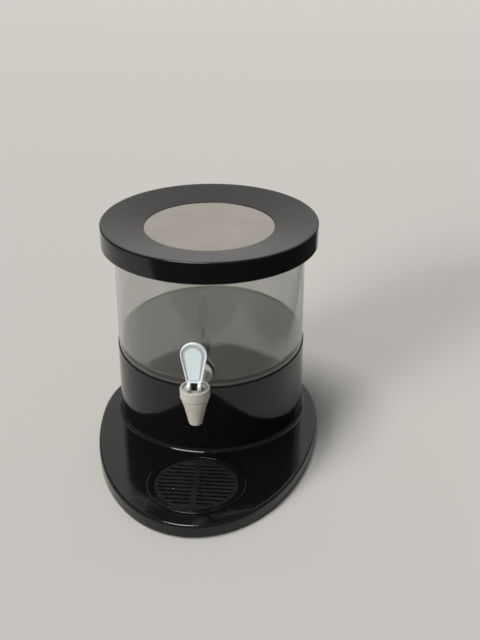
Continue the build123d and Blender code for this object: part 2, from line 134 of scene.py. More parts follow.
# %% Lay a noise on a socket
def tint(tree, shader, value, low, high):
    """Colour from low to high along a 0 to 1 value."""
    ramp = tree.nodes.new("ShaderNodeValToRGB")
    ramp.color_ramp.elements[0].color = (*low, 1.0)
    ramp.color_ramp.elements[1].color = (*high, 1.0)
    tree.links.new(value, ramp.inputs["Fac"])
    tree.links.new(ramp.outputs["Color"], shader.inputs["Base Color"])


def gloss(tree, shader, value, low, high):
    """Roughness from low to high along a 0 to 1 value."""
    span = add_node(tree, "ShaderNodeMapRange", To_Min=low, To_Max=high)
    tree.links.new(value, span.inputs["Value"])
    tree.links.new(span.outputs["Result"], shader.inputs["Roughness"])


def relief(tree, shader, *layers):
    """Relief from layers of (0 to 1 value, depth in metres), each laid over the last."""
    normal = None
    for value, depth in layers:
        bump = add_node(tree, "ShaderNodeBump", Distance=depth)
        tree.links.new(value, bump.inputs["Height"])
        if normal is not None:
            tree.links.new(normal, bump.inputs["Normal"])
        normal = bump.outputs["Normal"]
    tree.links.new(normal, shader.inputs["Normal"])


def dress(names, material):
    """Give CAD nodes a material."""
    for name in names:
        nodes[name].data.materials.clear()
        nodes[name].data.materials.append(material)
    print(material.name, "on", ", ".join(names))


print("helpers: tint, gloss, relief, dress")

# %% [markdown]
# Black gloss
#
# The base, the lid and the drip tray are moulded in black plastic against a polished tool. Such a face is
# almost a mirror. What gives it away as plastic is a faint long ripple that bends its reflections, a
# little unevenness of gloss from handling, and fine dust that settles as pale specks. A plain glossy black
# would do from afar. The ripple and the dust are noise, so they need no picture.

# %% Black gloss
BLACK = (0.0045, 0.0045, 0.0050)
DUST = (0.030, 0.029, 0.027)
RIPPLE_DEPTH = 0.00005
PEBBLE_DEPTH = 0.000003


def black_gloss():
    """Deep black, polished: specks of dust in the colour, a long ripple and a fine pebble in the relief."""
    material, tree, shader = new_finish("black_gloss", BLACK, roughness=0.08)
    specks = noise_of(tree, scale=900.0, detail=2.0, spread=(0.66, 0.74))
    handling = noise_of(tree, scale=30.0, detail=6.0)
    ripple = noise_of(tree, scale=45.0, detail=1.0)
    pebble = noise_of(tree, scale=260.0, detail=2.0)
    tint(tree, shader, specks, low=BLACK, high=DUST)
    gloss(tree, shader, handling, low=0.05, high=0.13)
    relief(tree, shader, (ripple, RIPPLE_DEPTH), (pebble, PEBBLE_DEPTH))
    return material


gloss_black = black_gloss()
dress(["base_shell"], gloss_black)

# %% [markdown]
# Black satin
#
# The grille is handled at every emptying and stands in the wet, so its tool is spark-eroded to a fine
# satin that hides marks. The tap's stem, between the lever's legs, has the same finish. A grain a few tenths
# of a millimetre across would take millions of faces, so it is a dense noise in the relief.

# %% Black satin
SATIN = (0.012, 0.012, 0.013)
SATIN_DARK = (0.009, 0.009, 0.010)
SATIN_WORN = (0.018, 0.018, 0.019)
SATIN_DEPTH = 0.000006


def black_satin():
    """Dark satin with slightly paler worn patches and a fine grain."""
    material, tree, shader = new_finish("black_satin", SATIN, roughness=0.26)
    wear = noise_of(tree, scale=120.0, detail=5.0)
    handling = noise_of(tree, scale=90.0, detail=4.0)
    grain = noise_of(tree, scale=2600.0, detail=2.0)
    tint(tree, shader, wear, low=SATIN_DARK, high=SATIN_WORN)
    gloss(tree, shader, handling, low=0.20, high=0.32)
    relief(tree, shader, (grain, SATIN_DEPTH))
    return material


satin_black = black_satin()
dress(["drip_grille", "tap_stem"], satin_black)

# %% [markdown]
# Clear plastic
#
# The tank is injection moulded in clear plastic. It bends light like glass and is a little grey and milky
# in the depth of its wall. The melt runs up the wall from the floor and leaves faint upright flow lines,
# and cleaning leaves patches of fine haze. A plain glass shader would look too clean for it. The flow lines
# are noises that are stretched along Z.

# %% Clear plastic
CLEAR = (0.80, 0.80, 0.78)
CLEAR_DARK = (0.775, 0.78, 0.76)
CLEAR_PALE = (0.825, 0.83, 0.815)
FLOW_DEPTH = 0.00004


def clear_plastic():
    """Clear with a little milk: flow lines in the colour and the relief, haze in the roughness."""
    material, tree, shader = new_finish(
        "clear_plastic", CLEAR, roughness=0.03, Transmission_Weight=0.97, IOR=1.57
    )
    streaks = noise_of(tree, scale=30.0, stretch=(1.0, 1.0, 0.12))
    haze = noise_of(tree, scale=35.0, detail=6.0)
    flow = noise_of(tree, scale=60.0, detail=1.0, stretch=(1.0, 1.0, 0.08))
    tint(tree, shader, streaks, low=CLEAR_DARK, high=CLEAR_PALE)
    gloss(tree, shader, haze, low=0.015, high=0.06)
    relief(tree, shader, (flow, FLOW_DEPTH))
    return material


clear_wall = clear_plastic()
dress(["tank"], clear_wall)

# %% [markdown]
# Pale and white plastics
#
# The disc in the lid is a thin translucent moulding, dull and slightly mottled. The tap's body is white
# polypropylene, waxy and a little yellow, with cloudy flow marks. Its lever is another batch, whiter and
# bluer, with a smoother face. All three let some light in under the surface. They could be three recipes,
# but they differ only in their numbers, so one function makes them.

# %% Pale and white plastics
LIGHT_INSIDE = {"Subsurface_Scale": 0.002, "Subsurface_Radius": (1.0, 0.9, 0.8)}


def pale_plastic(name, low, high, rough, cloud, grain, depth):
    """Cloudy plastic: colour from low to high over a noise, fine grain, and light that enters the surface.

    Cloud and grain are features per metre. The grain's depth is in metres, and the clouds are twice as deep.
    """
    material, tree, shader = new_finish(name, high, rough[0], Subsurface_Weight=0.15, **LIGHT_INSIDE)
    tint(tree, shader, noise_of(tree, cloud, detail=4.0), low, high)
    gloss(tree, shader, noise_of(tree, 2.0 * cloud, detail=2.0, spread=(0.2, 0.8)), *rough)
    fine = noise_of(tree, grain, detail=2.0)
    broad = noise_of(tree, cloud, detail=1.0)
    relief(tree, shader, (fine, depth), (broad, 2.0 * depth))
    return material


milky = pale_plastic("milky_plastic", low=(0.288, 0.267, 0.236), high=(0.332, 0.310, 0.280),
                     rough=(0.28, 0.36), cloud=35.0, grain=1500.0, depth=0.000004)
tap_white = pale_plastic("tap_white", low=(0.48, 0.455, 0.415), high=(0.56, 0.535, 0.495),
                         rough=(0.28, 0.42), cloud=130.0, grain=1800.0, depth=0.00001)
lever_white = pale_plastic("lever_white", low=(0.77, 0.86, 0.91), high=(0.85, 0.92, 0.96),
                           rough=(0.18, 0.3), cloud=160.0, grain=2200.0, depth=0.000008)
print("pale plastics:", milky.name, tap_white.name, lever_white.name)

# %% [markdown]
# The lever's dish in painted shade
#
# The dish in the lever's face is a shallow recess, and the shade that falls in it is painted as a grey. A
# second material on the dish's faces would end at a hard edge. So the mesh carries a mark, from 0 to 1 at each
# point, and the finish blends to the painted grey along it.

# %% Dish, painted shade
DISH_MARK = "dish"
# Painted shade: this grey stands in for the shade that falls in the recessed dish.
DISH_PAINTED_SHADE = (0.54, 0.57, 0.58)


def overlay(tree, shader, value, colour):
    """A second colour laid over the first one where a 0 to 1 value is high."""
    mix = tree.nodes.new("ShaderNodeMix")
    mix.data_type = "RGBA"
    first, second = [socket for socket in mix.inputs if socket.type == "RGBA"]
    result = next(socket for socket in mix.outputs if socket.type == "RGBA")
    tree.links.new(value, mix.inputs[0])
    tree.links.new(shader.inputs["Base Color"].links[0].from_socket, first)
    second.default_value = (*colour, 1.0)
    tree.links.new(result, shader.inputs["Base Color"])


def paint_dish_shade(material):
    """Painted shade: a greyer colour where the mesh's mark says that the lever's dish is."""
    tree = material.node_tree
    mark = tree.nodes.new("ShaderNodeAttribute")
    mark.attribute_name = DISH_MARK
    overlay(tree, tree.nodes["Principled BSDF"], mark.outputs["Fac"], DISH_PAINTED_SHADE)


paint_dish_shade(lever_white)
print(lever_white.name, "turns grey along the mark", DISH_MARK)

# %% [markdown]
# Silicone, rubber and steel
#
# The seals are translucent grey silicone with a dull skin. The feet and the tap's washers are soft black
# rubber with a powdery bloom. The lever's pin is drawn steel: its fine lines run along it, so its noise is
# stretched along X. Plain greys would do for pieces so small, but the lid and the tank lift off, and the
# pieces are then seen from near.

# %% Silicone, rubber and steel
SEAL_DEPTH = 0.00001
RUBBER_DEPTH = 0.00003
DRAWN_DEPTH = 0.0000005


def soft_seal():
    """Translucent grey silicone, dull and finely pebbled."""
    material, tree, shader = new_finish(
        "soft_seal", (0.42, 0.41, 0.38), roughness=0.45, Subsurface_Weight=0.3, **LIGHT_INSIDE
    )
    tint(tree, shader, noise_of(tree, scale=200.0), low=(0.38, 0.37, 0.34), high=(0.47, 0.46, 0.43))
    gloss(tree, shader, noise_of(tree, scale=300.0), low=0.38, high=0.55)
    relief(tree, shader, (noise_of(tree, scale=1600.0, detail=2.0), SEAL_DEPTH))
    return material


def black_rubber():
    """Dull black rubber with a pale bloom and a fine grain."""
    material, tree, shader = new_finish("black_rubber", (0.02, 0.02, 0.02), roughness=0.7)
    bloom = noise_of(tree, scale=400.0, detail=5.0)
    tint(tree, shader, bloom, low=(0.014, 0.014, 0.014), high=(0.045, 0.044, 0.042))
    gloss(tree, shader, noise_of(tree, scale=500.0), low=0.6, high=0.85)
    relief(tree, shader, (noise_of(tree, scale=3000.0, detail=2.0), RUBBER_DEPTH))
    return material


def pin_steel():
    """Drawn steel with fine lines along X."""
    material, tree, shader = new_finish("pin_steel", (0.55, 0.55, 0.54), roughness=0.3, Metallic=1.0)
    lines = noise_of(tree, scale=3000.0, stretch=(0.02, 1.0, 1.0))
    tint(tree, shader, lines, low=(0.53, 0.53, 0.52), high=(0.57, 0.57, 0.56))
    gloss(tree, shader, lines, low=0.27, high=0.33)
    relief(tree, shader, (lines, DRAWN_DEPTH))
    return material


seal_grey = soft_seal()
rubber = black_rubber()
dress(["lever_pin"], pin_steel())
print("ready for new pieces:", seal_grey.name, rubber.name)

# %% [markdown]
# Rounded profiles
#
# The new pieces are surfaces on a grid of two parameters. Most are turned: a profile goes round an axis,
# the way the mould for a lid or a spout is cut on a lathe. A moulded edge is never sharp, so every corner of
# a profile gets an arc. A Bevel modifier could round the mesh instead. Arcs are chosen because each corner
# then has its own rounding, written beside it in the profile's table.

# %% Rounded profiles
LONG_RUN = 1.0
HOLD = 0.25
SAME_POINT = 1e-6
TINY = 1e-9


def round_corners(corners, steps=5):
    """Closed outline of (x, y, rounding) corners, in which each corner becomes an arc.

    At a corner with half angle h, the arc of radius r has its centre r / sin h from the corner on the
    bisector, and leaves the edges r / tan h from the corner. The arc turns by pi - 2 h.
    """
    corner, radius = np.split(np.array(corners, float), [2], axis=1)
    back = np.roll(corner, 1, 0) - corner
    ahead = np.roll(corner, -1, 0) - corner
    back /= np.linalg.norm(back, axis=1, keepdims=True)
    ahead /= np.linalg.norm(ahead, axis=1, keepdims=True)
    half = np.arccos(np.clip((back * ahead).sum(1, keepdims=True), -1.0, 1.0)) / 2.0
    bisector = (back + ahead) / np.maximum(2.0 * np.cos(half), TINY)
    centre = corner + bisector * radius / np.sin(half)
    start = corner + back * radius / np.tan(half) - centre
    side = np.sign(back[:, :1] * ahead[:, 1:] - back[:, 1:] * ahead[:, :1])
    turn = -side * (np.pi - 2.0 * half) * np.linspace(0.0, 1.0, steps)
    x = centre[:, :1] + start[:, :1] * np.cos(turn) - start[:, 1:] * np.sin(turn)
    y = centre[:, 1:] + start[:, :1] * np.sin(turn) + start[:, 1:] * np.cos(turn)
    points = np.stack([x, y], axis=-1).reshape(-1, 2)
    step = np.linalg.norm(points - np.roll(points, 1, 0), axis=1)
    return points[step > SAME_POINT]


def held(profile, closed=True):
    """Profile with two more points on each run longer than LONG_RUN, at HOLD from its ends.

    Smooth shading bends the normals over a whole face. These points keep the bend close to the rounding.
    """
    ahead = np.roll(profile, -1, 0) - profile
    length = np.linalg.norm(ahead, axis=1)
    share = np.where(length > LONG_RUN, HOLD / np.maximum(length, LONG_RUN), np.nan)
    if not closed:
        share[-1] = np.nan
    extra = profile[:, None] + np.stack([share, 1.0 - share], axis=-1)[..., None] * ahead[:, None]
    points = np.concatenate([profile[:, None], extra], axis=1).reshape(-1, 2)
    return points[~np.isnan(points[:, 0])]


print("helpers: round_corners, held")

# %% [markdown]
# Grids
#
# A turned shape could be made with Spin. A numpy grid gives every point by formula instead, so the radius
# may vary round the axis, as on a thread or a hexagon. A shell is such a grid, with a note of whether its
# rows and its columns run round and join up.

# %% Grids
AXES = {"z": ((1, 0, 0), (0, 1, 0), (0, 0, 1)), "y": ((0, 0, 1), (1, 0, 0), (0, 1, 0))}


def grid_faces(rows, columns, round_rows, round_columns, first=0):
    """Quads of a grid, turned so that a face's normal is (along rows) x (along columns)."""
    row, column = np.meshgrid(
        np.arange(rows if round_rows else rows - 1),
        np.arange(columns if round_columns else columns - 1),
        indexing="ij",
    )
    next_row = (row + 1) % rows
    next_column = (column + 1) % columns
    quads = [row * columns + column, next_row * columns + column,
             next_row * columns + next_column, row * columns + next_column]
    return (first + np.stack(quads, axis=-1).reshape(-1, 4)).tolist()


def spun(radius, along, centre, axis="z", turns=96):
    """Grid of a profile carried round an axis: centre + r (cos t, sin t) across + h along the axis.

    The radius may be one profile, or one profile for each angle.
    """
    angle = np.linspace(0.0, 2.0 * np.pi, turns, endpoint=False)[:, None]
    across, other, up = (np.array(direction, float) for direction in AXES[axis])
    radius = np.broadcast_to(radius, (turns, len(along)))[..., None]
    ring = np.cos(angle)[..., None] * across + np.sin(angle)[..., None] * other
    return np.array(centre) + radius * ring + np.asarray(along)[None, :, None] * up


def shell(grid, round_rows=True, round_columns=True, capped=False):
    """Grid in millimetres, with the way it closes. If capped, flat faces close its first and last row."""
    return grid, round_rows, round_columns, capped


def turned_shell(corners, centre, axis="z", turns=96, steps=5):
    """Shell of (radius, height, rounding) corners about an axis.

    An outline that starts and ends on the axis stays open there, and its two poles close it.
    """
    profile = round_corners(corners, steps)
    on_axis = (profile[[0, -1], 0] < TINY).all()
    profile = held(profile, not on_axis)
    return shell(spun(profile[:, 0], profile[:, 1], centre, axis, turns), round_columns=not on_axis)


print("helpers: grid_faces, spun, shell, turned_shell")

# %% [markdown]
# Pieces
#
# A piece is one mesh of one or more shells. Its equal points are merged, which closes seams and poles, and
# it is shaded smooth except over sharp edges. Blender's operators could do this on a selected object. Calls
# on the mesh itself need no selection, so their order doesn't matter to other pieces. The piece is then
# parented to the body it rides on, and the CAD nodes that it stands for are hidden.

# %% Pieces
MM = 0.001
MERGE = 1e-7
SHARP_ANGLE = math.radians(50.0)


def add_piece(name, shells, material, body, slot, *stands_for, marks=()):
    """Piece from shells in millimetres. It rides on a body and stands for CAD nodes, which it hides. The slot
    is not used.

    A mark is a name and a value for each of the first shell's points, for the material to read.
    """
    points, faces = [], []
    for grid, round_rows, round_columns, capped in shells:
        first = sum(len(part) for part in points)
        rows, columns = grid.shape[:2]
        faces += grid_faces(rows, columns, round_rows, round_columns, first)
        if capped:
            ring = np.arange(columns) + first
            faces += [ring.tolist(), (ring[::-1] + (rows - 1) * columns).tolist()]
        points.append(grid.reshape(-1, 3) * MM)
    mesh = bpy.data.meshes.new(name)
    mesh.from_pydata(np.concatenate(points).tolist(), [], faces)
    for mark, values in marks:
        padded = np.zeros(len(mesh.vertices))
        padded[:values.size] = values.ravel()
        mesh.attributes.new(mark, "FLOAT", "POINT").data.foreach_set("value", padded)
    merged = bmesh.new()
    merged.from_mesh(mesh)
    bmesh.ops.remove_doubles(merged, verts=merged.verts, dist=MERGE)
    merged.to_mesh(mesh)
    merged.free()
    mesh.shade_smooth()
    mesh.set_sharp_from_angle(angle=SHARP_ANGLE)
    mesh.materials.append(material)
    piece = bpy.data.objects.new(name, mesh)
    scene.collection.objects.link(piece)
    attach(piece, body)
    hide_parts(*stands_for)
    print(name, "rides on", body, "with", len(mesh.polygons), "faces")


print("helper: add_piece")

# %% [markdown]
# Lid
#
# The lid is a black ring whose top slopes down like a shallow dish to the disc in its middle. Under it are
# a skirt, a plug rib that carries a soft gasket inside the tank's wall, and a rest rib that stands on the
# tank's rim. It could be put together from rings. The real one is a single moulding, so its whole section is
# one closed outline, carried round the tank's axis.

# %% Lid
TANK_AXIS = (0.0, 53.0, 0.0)
SKIRT_R = 107.0
UNDER_RIM = 224.0
DISH_SLOPE = 6.1 / 40.5  # fall over run


def under(radius):
    """Height of the lid's underside, which slopes like the dish."""
    return UNDER_RIM - (SKIRT_R - radius) * DISH_SLOPE


LID_CORNERS = [
    (110.0, 205.0, 0.8), (110.0, 227.0, 1.5), (SKIRT_R, 227.0, 12.0),  # outside of the skirt, rim
    (66.5, 220.9, 0.4), (66.5, 218.0, 0.2), (60.5, 218.0, 0.5),  # foot of the dish, ledge under the disc
    (60.5, 215.5, 0.5), (69.1, 215.5, 0.5), (69.1, under(69.1), 0.6),  # underside of the ledge
    (90.7, under(90.7), 0.8), (90.7, 204.0, 0.5), (92.9, 204.0, 0.5),  # plug rib
    (92.9, 207.0, 0.2), (91.7, 207.0, 0.2), (91.7, 211.0, 0.2), (92.9, 211.0, 0.2),  # groove of the gasket
    (92.9, under(92.9), 0.8), (97.0, under(97.0), 0.8),  # room for the tank's rim
    (97.0, 215.0, 0.5), (99.2, 215.0, 0.5), (99.2, under(99.2), 0.8),  # rest rib
    (SKIRT_R, under(SKIRT_R), 1.2), (SKIRT_R, 205.0, 0.5),  # inside of the skirt
]
lid_shell = turned_shell(LID_CORNERS, TANK_AXIS, turns=192, steps=7)
add_piece("lid_ring_form", [lid_shell], gloss_black, "lid", "black_gloss", "lid_ring")

# %% [markdown]
# Disc and gasket
#
# The disc lies on the ledge at the foot of the dish. The gasket sits in the plug rib's groove, and its two
# soft lips face the tank's wall. A torus would do for a plain ring, but not for lips, so both are turned from
# outlines like the lid.

# %% Disc and gasket
DISC_CORNERS = [(0.0, 218.0, 0.0), (66.3, 218.0, 0.3), (66.3, 220.5, 0.6), (0.0, 220.5, 0.0)]
GASKET_CORNERS = [
    (91.7, 207.0, 0.2), (93.0, 207.0, 0.3),  # underside
    (94.2, 207.7, 0.3), (94.2, 208.6, 0.3), (93.3, 209.0, 0.15),  # lower lip
    (94.2, 209.4, 0.3), (94.2, 210.3, 0.3),  # upper lip
    (93.0, 211.0, 0.3), (91.7, 211.0, 0.2),  # top
]
disc_shell = turned_shell(DISC_CORNERS, TANK_AXIS, turns=160)
add_piece("lid_disc_form", [disc_shell], milky, "lid", "milky_plastic", "lid_disc")
gasket_shell = turned_shell(GASKET_CORNERS, TANK_AXIS, turns=160)
add_piece("lid_gasket_form", [gasket_shell], seal_grey, "lid", "soft_seal", "lid_gasket")

# %% [markdown]
# Drip tray
#
# The tray is a shallow cup. It hangs by its flange in the deck, and a ledge inside carries the grille. It
# could be a cylinder with its inside cut out. As a turned outline, it needs no cut and its edges are round.

# %% Drip tray
TRAY_AXIS = (0.0, -100.0, 0.0)
TRAY_CORNERS = [
    (0.0, 3.0, 0.0), (44.0, 3.0, 1.5), (44.0, 14.0, 0.3),  # underside, wall
    (48.0, 14.0, 0.3), (48.0, 15.6, 0.7), (41.8, 15.6, 0.6),  # flange
    (41.8, 11.6, 0.2), (39.4, 11.6, 0.2), (41.8, 8.8, 0.4),  # ledge
    (41.8, 5.0, 2.0), (0.0, 5.0, 0.0),  # floor
]
tray_shell = turned_shell(TRAY_CORNERS, TRAY_AXIS, turns=160)
add_piece("drip_tray_form", [tray_shell], gloss_black, "drip_cup", "black_gloss", "drip_tray")

# %% [markdown]
# Feet
#
# The feet are rubber pads with a shallow ring pressed into their soles. Copies of one mesh could be moved
# into place. Here each foot is turned where it stands, because a finished piece keeps its object at the
# origin. Its place comes from the box of its CAD node.

# %% Feet
FOOT_CORNERS = [
    (0.0, 0.0, 0.0), (2.3, 0.0, 0.15), (2.6, 0.35, 0.1), (3.3, 0.35, 0.1), (3.6, 0.0, 0.15),  # sole, ring
    (5.5, 0.0, 0.5), (5.5, 1.5, 0.1), (0.0, 1.5, 0.0),  # side, top
]
for foot in sorted(name for name in nodes if name.startswith("foot_")):
    low, high = (np.array(corner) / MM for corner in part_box(foot))
    place = (*((low + high) / 2.0)[:2], 0.0)
    foot_shell = turned_shell(FOOT_CORNERS, place, turns=48)
    add_piece(foot + "_form", [foot_shell], rubber, "base", "black_rubber", foot)

# %% [markdown]
# Tap body
#
# The tap's body is one white moulding. Its barrel is turned about the spout's axis: an open head, a valve
# chamber, a seat and a tapered nozzle. Its arm is turned about the shank's axis: a flare where it meets the
# barrel, a flange, and a threaded shank. A Screw modifier could cut the thread. Here the thread is a ridge
# whose place along the shank moves on by one pitch for each turn, so the radius there depends on both the
# angle and the length, and the arm stays one grid.

# %% Tap body
SPOUT_AXIS = (0.0, -94.0, 0.0)
SHANK_AXIS = (0.0, 0.0, 107.51)
BARREL_CORNERS = [
    (4.5, 80.01, 0.4), (6.2, 80.01, 0.6), (11.6, 103.51, 0.25),  # mouth, nozzle
    (12.2, 103.51, 0.25), (12.6, 106.51, 0.8), (14.0, 108.91, 1.0),  # step, collar
    (14.0, 118.51, 0.7), (11.7, 118.51, 0.6), (11.7, 112.01, 0.3),  # head
    (8.2, 112.01, 0.5), (8.2, 98.01, 0.5), (4.5, 98.01, 0.5),  # valve chamber, seat
]
SHANK_R = 6.5
BORE_R = 4.0
ARM_START, ARM_END, ARM_ROWS = -85.4, -52.0, 50
FLARE, FLARE_AT, FLARE_FADE = 1.6, -82.0, 1.6
FLANGE_CORNERS = [
    (SHANK_R, ARM_END, 0.0), (SHANK_R, -50.0, 1.5), (12.0, -50.0, 0.8),
    (12.0, -47.0, 0.8), (SHANK_R, -47.0, 0.2), (SHANK_R, -46.5, 0.0),
]
THREAD_START, THREAD_END, THREAD_ROWS = -46.3, -29.8, 130
THREAD_PITCH = 1.5
THREAD_DEPTH = 0.75
SHANK_TIP = [(5.9, -29.4), (5.4, -29.1), (4.3, -29.1), (BORE_R, -29.4), (BORE_R, ARM_START)]


def shank_grid(turns=72):
    """Arm, flange and thread about the shank's axis.

    The arm's radius is R + f exp(-d / fade), with d the distance from the barrel. The thread takes away
    depth * |sin(pi h / pitch - t / 2)|, with h along the shank and t the angle.
    """
    arm = np.linspace(ARM_START, ARM_END, ARM_ROWS)
    flare = FLARE * np.exp(-np.maximum(arm - FLARE_AT, 0.0) / FLARE_FADE)
    flange = held(round_corners(FLANGE_CORNERS, steps=6), closed=False)
    thread = np.linspace(THREAD_START, THREAD_END, THREAD_ROWS)
    tip = np.array(SHANK_TIP)
    along = np.concatenate([arm, flange[:, 1], thread, tip[:, 1]])
    radius = np.concatenate([SHANK_R + flare, flange[:, 0], np.full(THREAD_ROWS, SHANK_R), tip[:, 0]])
    angle = np.linspace(0.0, 2.0 * np.pi, turns, endpoint=False)[:, None]
    in_thread = (along >= THREAD_START) & (along <= THREAD_END) & (radius == SHANK_R)
    groove = THREAD_DEPTH * np.abs(np.sin(np.pi * along / THREAD_PITCH - angle / 2.0))
    return spun(radius - groove * in_thread, along, SHANK_AXIS, "y", turns)


barrel_shell = turned_shell(BARREL_CORNERS, SPOUT_AXIS, turns=112)
shank_shell = shell(shank_grid())
add_piece("tap_body_form", [barrel_shell, shank_shell], tap_white, "tank_unit", "tap_white", "tap_body")

# %% [markdown]
# Washers and nut
#
# Two rubber washers clamp the tank's wall, and a hexagon nut draws them up. The outer washer shows as a dark
# ring round the flange. A nut could be a six-sided cylinder with cut corners. Here its radius is a formula:
# the inner radius over the cosine of the angle from the nearest flat, limited by a cone for the chamfer.

# %% Washers and nut
WASHER_THICK = 2.0
WASHER_BORE_R = 6.7
WASHER_EDGE = 0.5
NUT_NEAR, NUT_FAR = -37.6, -30.6
NUT_FLAT_R = 9.5
NUT_BORE_R = 6.6
NUT_CHAMFER = 1.2


def washer(name, radius, near):
    """Rubber ring with rounded edges, from y = near inwards."""
    far = near + WASHER_THICK
    ring = [(radius, near), (radius, far), (WASHER_BORE_R, far), (WASHER_BORE_R, near)]
    washer_shell = turned_shell([(*corner, WASHER_EDGE) for corner in ring], SHANK_AXIS, "y", turns=72)
    add_piece(name + "_form", [washer_shell], rubber, "tank_unit", "black_rubber", name)


def nut_grid(turns=144):
    """Nut about the shank: r = min(flat radius / cos(angle from the nearest flat), chamfer cone)."""
    angle = np.linspace(0.0, 2.0 * np.pi, turns, endpoint=False)[:, None]
    sixth = np.pi / 3.0
    hexagon = NUT_FLAT_R / np.cos((angle + sixth / 2.0) % sixth - sixth / 2.0)
    corner_r = NUT_FLAT_R / math.cos(sixth / 2.0)
    rise = np.linspace(0.0, NUT_CHAMFER, 7)
    cone = corner_r - NUT_CHAMFER + np.concatenate([rise, rise[::-1]])
    outer = np.minimum(hexagon, cone)
    bore = np.full((turns, 1), NUT_BORE_R)
    along = np.concatenate([[NUT_NEAR], NUT_NEAR + rise, NUT_FAR - rise[::-1], [NUT_FAR]])
    return spun(np.hstack([bore, outer, bore]), along, SHANK_AXIS, "y", turns)


washer("tap_outer_washer", radius=12.8, near=-47.0)
washer("tap_inner_washer", radius=11.5, near=-39.6)
add_piece("tap_nut_form", [shell(nut_grid())], tap_white, "tank_unit", "tap_white", "tap_nut")

# %% [markdown]
# Bonnet and seat cup
#
# The bonnet caps the tap's head and is what the lever's cams stand on. Under it, a silicone cup closes the
# outlet with its tip and holds the stem's button in a socket. The cup is out of sight and could stay plain,
# but its hollow is drawn as it is. Both are turned about the spout's axis.

# %% Bonnet and seat cup
BONNET_CORNERS = [(2.5, 113.21, 0.2), (11.6, 113.21, 0.3), (11.6, 116.51, 0.6), (2.5, 116.51, 0.5)]
CUP_CORNERS = [
    (0.0, 98.01, 0.0), (6.3, 98.01, 0.6), (7.4, 99.51, 0.6),  # tip
    (7.4, 112.01, 0.8), (11.6, 112.01, 0.3), (11.6, 113.21, 0.3),  # wall, flange
    (5.4, 113.21, 0.5), (5.4, 103.41, 0.8),  # hollow
    (2.7, 103.41, 0.3), (2.7, 102.21, 0.3), (4.3, 102.21, 0.4),  # neck of the socket
    (4.3, 100.01, 0.4), (0.0, 100.01, 0.0),  # socket
]
bonnet_shell = turned_shell(BONNET_CORNERS, SPOUT_AXIS, turns=80)
add_piece("tap_bonnet_form", [bonnet_shell], tap_white, "tank_unit", "tap_white", "tap_bonnet")
cup_shell = turned_shell(CUP_CORNERS, SPOUT_AXIS, turns=80)
add_piece("tap_seat_cup_form", [cup_shell], seal_grey, "tank_unit", "soft_seal", "tap_seat_cup")

# %% [markdown]
# Lever paddle
#
# The lever is a keyhole paddle: a thin raised rim, a dish inside it and a raised press for the thumb. It
# could be a plate whose faces are inset and pushed in. Here the paddle is one surface: rows of keyhole
# outlines that go from the middle of the back, round the edge, over the rim and the dish to the press. Each
# row has an inset and a depth, so a rounding or a slope is a short list of numbers.

# %% Keyhole outlines
PADDLE = (31.5, 12.3, 7.3, 2.5, 1.3)  # middle and radius of the bulb, half of the foot, sole, foot's corner
PRESS = (30.5, 7.8, 4.9, 5.3, 1.2)
SMALLEST_CORNER = 0.4


def keyholes(sizes, inset):
    """Keyhole outlines, one row for each inset, clockwise from the top.

    The right half is an arc of the bulb's circle, the line that touches this circle and the foot's corner
    circle, an arc of the corner and half of the sole. With D from the bulb's middle to the corner's, the
    line's normal n solves n . D = R - r. The left half mirrors the right one.
    """
    inset = inset[:, None]
    centre, radius, half_foot, low, corner = sizes
    radius, low = radius - inset, low + inset
    corner = np.maximum(corner - inset, SMALLEST_CORNER)
    corner_x = half_foot - inset - corner
    corner_z = low + corner
    reach = np.hypot(corner_x, corner_z - centre)
    normal = np.arctan2(corner_z - centre, corner_x) + np.arccos((radius - corner) / reach)
    bulb = np.pi / 2.0 + (normal - np.pi / 2.0) * np.linspace(0.0, 1.0, 25)
    bend = normal + (-np.pi / 2.0 - normal) * np.linspace(0.0, 1.0, 6)
    share = np.linspace(0.0, 1.0, 10)[1:-1]
    side_x = (1.0 - share) * radius * np.cos(normal) + share * (corner_x + corner * np.cos(normal))
    side_z = (1.0 - share) * (centre + radius * np.sin(normal)) + share * (corner_z + corner * np.sin(normal))
    sole_x = corner_x * np.linspace(1.0, 0.0, 6)[1:]
    sole_z = low + 0.0 * sole_x
    x = np.hstack([radius * np.cos(bulb), side_x, corner_x + corner * np.cos(bend), sole_x])
    z = np.hstack([centre + radius * np.sin(bulb), side_z, corner_z + corner * np.sin(bend), sole_z])
    return np.hstack([x, -x[:, -2:0:-1]]), np.hstack([z, z[:, -2:0:-1]])


print("keyhole of", keyholes(PADDLE, np.zeros(1))[0].shape[1], "points")

# %% [markdown]
# From back to press
#
# Depths count from the pin, and the face looks along -Y, so a smaller number lies further forward. The edge's
# rows follow quarter circles. A smooth step leads from the rim to the dish, and another one up to the press,
# whose middle is a little hollow. The mark for the dish's painted shade is worked out from the same depths.

# %% Paddle surface
PIVOT = np.array([0.0, -94.0, 122.81])
BACK, FACE, DISH, PRESS_FACE, PRESS_MIDDLE = -1.8, -5.0, -4.0, -4.6, -4.5
BACK_INSETS = [4.0, 1.2]
EDGE_ROUNDING = 0.6
EDGE_STEPS = 6
FACE_ROW = len(BACK_INSETS) + 2 * EDGE_STEPS
RIM, RIM_SLOPE = 1.0, 0.9
PRESS_SLOPE = 0.7
PRESS_INSETS = [0.7, 1.3, 2.0, 3.0]
# Where the dish's painted shade begins, and over what depth it fades in.
DISH_SHADE_FROM = -4.45
DISH_SHADE_FADE = 0.3


